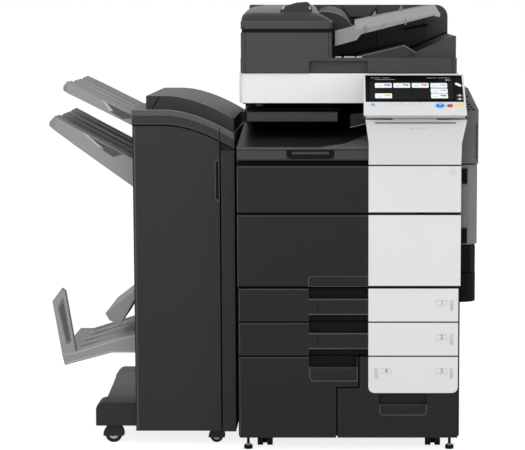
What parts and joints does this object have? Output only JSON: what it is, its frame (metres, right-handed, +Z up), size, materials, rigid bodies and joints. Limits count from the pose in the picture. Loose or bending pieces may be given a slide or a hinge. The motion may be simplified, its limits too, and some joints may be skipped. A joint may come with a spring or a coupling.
{
  "type": "photocopier",
  "caption": "Floor-standing colour photocopier with document feeder, tilting touch panel, pull-out paper drawers and a docked stacking and folding finisher.",
  "frame": {"origin": "middle of the footprint box, on the floor", "axes": "+X to the right seen from the front, +Y towards the back, +Z up"},
  "size_m": [1.2056, 0.77, 1.2429],
  "materials": {
    "light_plastic": "smooth light grey-white moulded plastic",
    "grey_plastic": "fine-grained mid grey plastic",
    "charcoal_plastic": "fine-grained charcoal plastic",
    "dark_plastic": "fine-grained near-black plastic",
    "black_plastic": "plain black plastic",
    "wheel_rubber": "hard black rubber",
    "screen_glass": "glossy black screen",
    "clear_glass": "clear platen glass",
    "blue_key": "blue key",
    "red_key": "red key",
    "toner_1": "black cartridge",
    "toner_2": "cyan cartridge",
    "toner_3": "magenta cartridge",
    "toner_4": "yellow cartridge"
  },
  "bodies": {
    "machine": {"main_frame": "dark_plastic", "left_cover": "charcoal_plastic", "right_cover": "charcoal_plastic", "rear_cover": "charcoal_plastic", "exit_tray": "dark_plastic", "relay_unit": "charcoal_plastic", "panel_support": "light_plastic", "scanner_housing": "light_plastic", "platen_glass": "clear_glass", "right_upper_cover": "grey_plastic", "toner_cartridge_1": "toner_1", "toner_cartridge_2": "toner_2", "toner_cartridge_3": "toner_3", "toner_cartridge_4": "toner_4", "transfer_belt_unit": "black_plastic", "finisher_body": "charcoal_plastic", "finisher_tray_upper": "grey_plastic", "fold_tray": "grey_plastic"},
    "adf": {"adf_base": "charcoal_plastic", "adf_feed_unit": "charcoal_plastic"},
    "adf_cover": {"adf_top_cover": "charcoal_plastic"},
    "adf_tray": {"adf_document_tray": "grey_plastic"},
    "guide_front": {"adf_guide_front": "grey_plastic"},
    "guide_rear": {"adf_guide_rear": "grey_plastic"},
    "feed_roller": {"adf_feed_roller": "wheel_rubber"},
    "panel": {"panel_body": "light_plastic", "panel_screen": "screen_glass"},
    "start_key": {"start_key": "blue_key"},
    "stop_key": {"stop_key": "red_key"},
    "toner_door": {"toner_door": "dark_plastic", "toner_door_trim": "light_plastic"},
    "front_door": {"front_door": "dark_plastic", "front_door_trim": "light_plastic"},
    "drawer_1": {"drawer_1": "dark_plastic", "drawer_1_trim": "light_plastic"},
    "drawer_2": {"drawer_2": "dark_plastic", "drawer_2_trim": "light_plastic"},
    "drawer_3": {"drawer_3": "dark_plastic", "drawer_3_trim": "light_plastic"},
    "drawer_4": {"drawer_4": "dark_plastic"},
    "right_door": {"right_door": "grey_plastic"},
    "bypass_tray": {"bypass_tray": "grey_plastic"},
    "right_lower_door": {"right_lower_door": "grey_plastic"},
    "scan_carriage": {"scan_carriage": "black_plastic"},
    "foot_left": {"levelling_foot_left": "black_plastic"},
    "foot_right": {"levelling_foot_right": "black_plastic"},
    "finisher_door": {"finisher_door": "charcoal_plastic"},
    "finisher_cover": {"finisher_top_cover": "charcoal_plastic"},
    "lower_stack_tray": {"finisher_tray_lower": "grey_plastic"},
    "flap": {"fold_tray_flap": "grey_plastic"},
    "hood_outer": {"finisher_caster_hood_outer": "black_plastic"},
    "hood_inner": {"finisher_caster_hood_inner": "black_plastic"},
    "caster_wheels_front_left": {"caster_wheels_front_left": "wheel_rubber"},
    "caster_wheels_front_right": {"caster_wheels_front_right": "wheel_rubber"},
    "caster_wheels_rear_left": {"caster_wheels_rear_left": "wheel_rubber"},
    "caster_wheels_rear_right": {"caster_wheels_rear_right": "wheel_rubber"},
    "finisher_wheel_front_inner": {"finisher_wheel_front_inner": "wheel_rubber"},
    "finisher_wheel_front_outer": {"finisher_wheel_front_outer": "wheel_rubber"},
    "finisher_wheel_rear_inner": {"finisher_wheel_rear_inner": "wheel_rubber"},
    "finisher_wheel_rear_outer": {"finisher_wheel_rear_outer": "wheel_rubber"}
  },
  "joints": [
    {"name": "drawer_1_slide", "type": "slide", "parent": "machine", "child": "drawer_1", "axis": [0, -1, 0], "range_m": [0, 0.42]},
    {"name": "drawer_2_slide", "type": "slide", "parent": "machine", "child": "drawer_2", "axis": [0, -1, 0], "range_m": [0, 0.42]},
    {"name": "drawer_3_slide", "type": "slide", "parent": "machine", "child": "drawer_3", "axis": [0, -1, 0], "range_m": [0, 0.42]},
    {"name": "drawer_4_slide", "type": "slide", "parent": "machine", "child": "drawer_4", "axis": [0, -1, 0], "range_m": [0, 0.42]},
    {"name": "toner_door_hinge", "type": "hinge", "parent": "machine", "child": "toner_door", "pos_m": [0.24175, -0.28998, 0.67489], "axis": [1, 0, 0], "range_deg": [0, 90]},
    {"name": "front_door_hinge", "type": "hinge", "parent": "machine", "child": "front_door", "pos_m": [0.24175, -0.28998, 0.47089], "axis": [1, 0, 0], "range_deg": [0, 90]},
    {"name": "right_door_hinge", "type": "hinge", "parent": "machine", "child": "right_door", "pos_m": [0.55825, 0.29202, 0.56689], "axis": [0, 0, 1], "range_deg": [0, 85]},
    {"name": "bypass_tray_hinge", "type": "hinge", "parent": "right_door", "child": "bypass_tray", "pos_m": [0.59975, -0.29998, 0.60289], "axis": [0, 1, 0], "range_deg": [0, 75]},
    {"name": "right_lower_door_hinge", "type": "hinge", "parent": "machine", "child": "right_lower_door", "pos_m": [0.55825, 0.29202, 0.40389], "axis": [0, 0, 1], "range_deg": [0, 85]},
    {"name": "adf_lid_hinge", "type": "hinge", "parent": "machine", "child": "adf", "pos_m": [0.24175, 0.37202, 1.05789], "axis": [-1, 0, 0], "range_deg": [0, 60]},
    {"name": "adf_top_cover_hinge", "type": "hinge", "parent": "adf", "child": "adf_cover", "pos_m": [-0.05375, -0.29998, 1.16139], "axis": [0, -1, 0], "range_deg": [0, 70]},
    {"name": "adf_tray_hinge", "type": "hinge", "parent": "adf", "child": "adf_tray", "pos_m": [0.20875, -0.29998, 1.14589], "axis": [0, -1, 0], "range_deg": [0, 20]},
    {"name": "guide_front_slide", "type": "slide", "parent": "adf_tray", "child": "guide_front", "axis": [0, 1, 0], "range_m": [-0.02, 0.06]},
    {"name": "guide_rear_slide", "type": "slide", "parent": "adf_tray", "child": "guide_rear", "axis": [0, 1, 0], "range_m": [-0.06, 0.02]},
    {"name": "feed_roller_spin", "type": "hinge", "parent": "adf", "child": "feed_roller", "pos_m": [0.14475, 0.05687, 1.13389], "axis": [0, 1, 0], "continuous": true},
    {"name": "panel_tilt", "type": "hinge", "parent": "machine", "child": "panel", "pos_m": [0.24175, -0.35377, 0.94277], "axis": [1, 0, 0], "range_deg": [0, 50]},
    {"name": "start_key_press", "type": "slide", "parent": "panel", "child": "start_key", "axis": [0, 0.5, -0.866], "range_m": [0, 0.0012], "stiffness_N_per_m": 600},
    {"name": "stop_key_press", "type": "slide", "parent": "panel", "child": "stop_key", "axis": [0, 0.5, -0.866], "range_m": [0, 0.0012], "stiffness_N_per_m": 600},
    {"name": "scan_carriage_slide", "type": "slide", "parent": "machine", "child": "scan_carriage", "axis": [1, 0, 0], "range_m": [0, 0.45]},
    {"name": "foot_left_adjust", "type": "slide", "parent": "machine", "child": "foot_left", "axis": [0, 0, 1], "range_m": [0, 0.0045]},
    {"name": "foot_right_adjust", "type": "slide", "parent": "machine", "child": "foot_right", "axis": [0, 0, 1], "range_m": [0, 0.0045]},
    {"name": "finisher_door_hinge", "type": "hinge", "parent": "machine", "child": "finisher_door", "pos_m": [-0.34775, -0.22998, 0.04189], "axis": [0, 0, -1], "range_deg": [0, 100]},
    {"name": "finisher_cover_hinge", "type": "hinge", "parent": "machine", "child": "finisher_cover", "pos_m": [0.24175, 0.36532, 0.90489], "axis": [-1, 0, 0], "range_deg": [0, 55]},
    {"name": "lower_stack_tray_lift", "type": "slide", "parent": "machine", "child": "lower_stack_tray", "axis": [0, 0, 1], "range_m": [-0.26, 0.02]},
    {"name": "flap_hinge", "type": "hinge", "parent": "machine", "child": "flap", "pos_m": [-0.36575, -0.29998, 0.41789], "axis": [0, 1, 0], "range_deg": [0, 35]},
    {"name": "hood_outer_swivel", "type": "hinge", "parent": "machine", "child": "hood_outer", "pos_m": [-0.42575, -0.18198, 0.05389], "axis": [0, 0, 1], "continuous": true},
    {"name": "hood_inner_swivel", "type": "hinge", "parent": "machine", "child": "hood_inner", "pos_m": [-0.13325, -0.18198, 0.04189], "axis": [0, 0, 1], "continuous": true},
    {"name": "caster_wheels_front_left_spin", "type": "hinge", "parent": "machine", "child": "caster_wheels_front_left", "pos_m": [0.00575, -0.22298, 0.01689], "axis": [1, 0, 0], "continuous": true},
    {"name": "caster_wheels_front_right_spin", "type": "hinge", "parent": "machine", "child": "caster_wheels_front_right", "pos_m": [0.47775, -0.22298, 0.01689], "axis": [1, 0, 0], "continuous": true},
    {"name": "caster_wheels_rear_left_spin", "type": "hinge", "parent": "machine", "child": "caster_wheels_rear_left", "pos_m": [0.00575, 0.30002, 0.01689], "axis": [1, 0, 0], "continuous": true},
    {"name": "caster_wheels_rear_right_spin", "type": "hinge", "parent": "machine", "child": "caster_wheels_rear_right", "pos_m": [0.47775, 0.30002, 0.01689], "axis": [1, 0, 0], "continuous": true},
    {"name": "finisher_wheel_front_inner_spin", "type": "hinge", "parent": "hood_inner", "child": "finisher_wheel_front_inner", "pos_m": [-0.13325, -0.18198, 0.01789], "axis": [0, 1, 0], "continuous": true},
    {"name": "finisher_wheel_front_outer_spin", "type": "hinge", "parent": "hood_outer", "child": "finisher_wheel_front_outer", "pos_m": [-0.42575, -0.18198, 0.02389], "axis": [0, 1, 0], "continuous": true},
    {"name": "finisher_wheel_rear_inner_spin", "type": "hinge", "parent": "machine", "child": "finisher_wheel_rear_inner", "pos_m": [-0.13325, 0.28002, 0.01789], "axis": [0, 1, 0], "continuous": true},
    {"name": "finisher_wheel_rear_outer_spin", "type": "hinge", "parent": "machine", "child": "finisher_wheel_rear_outer", "pos_m": [-0.42575, 0.28002, 0.02389], "axis": [0, 1, 0], "continuous": true}
  ],
  "couplings": [
    {"joint": "guide_rear_slide", "follows": "guide_front_slide", "ratio": -1}
  ]
}
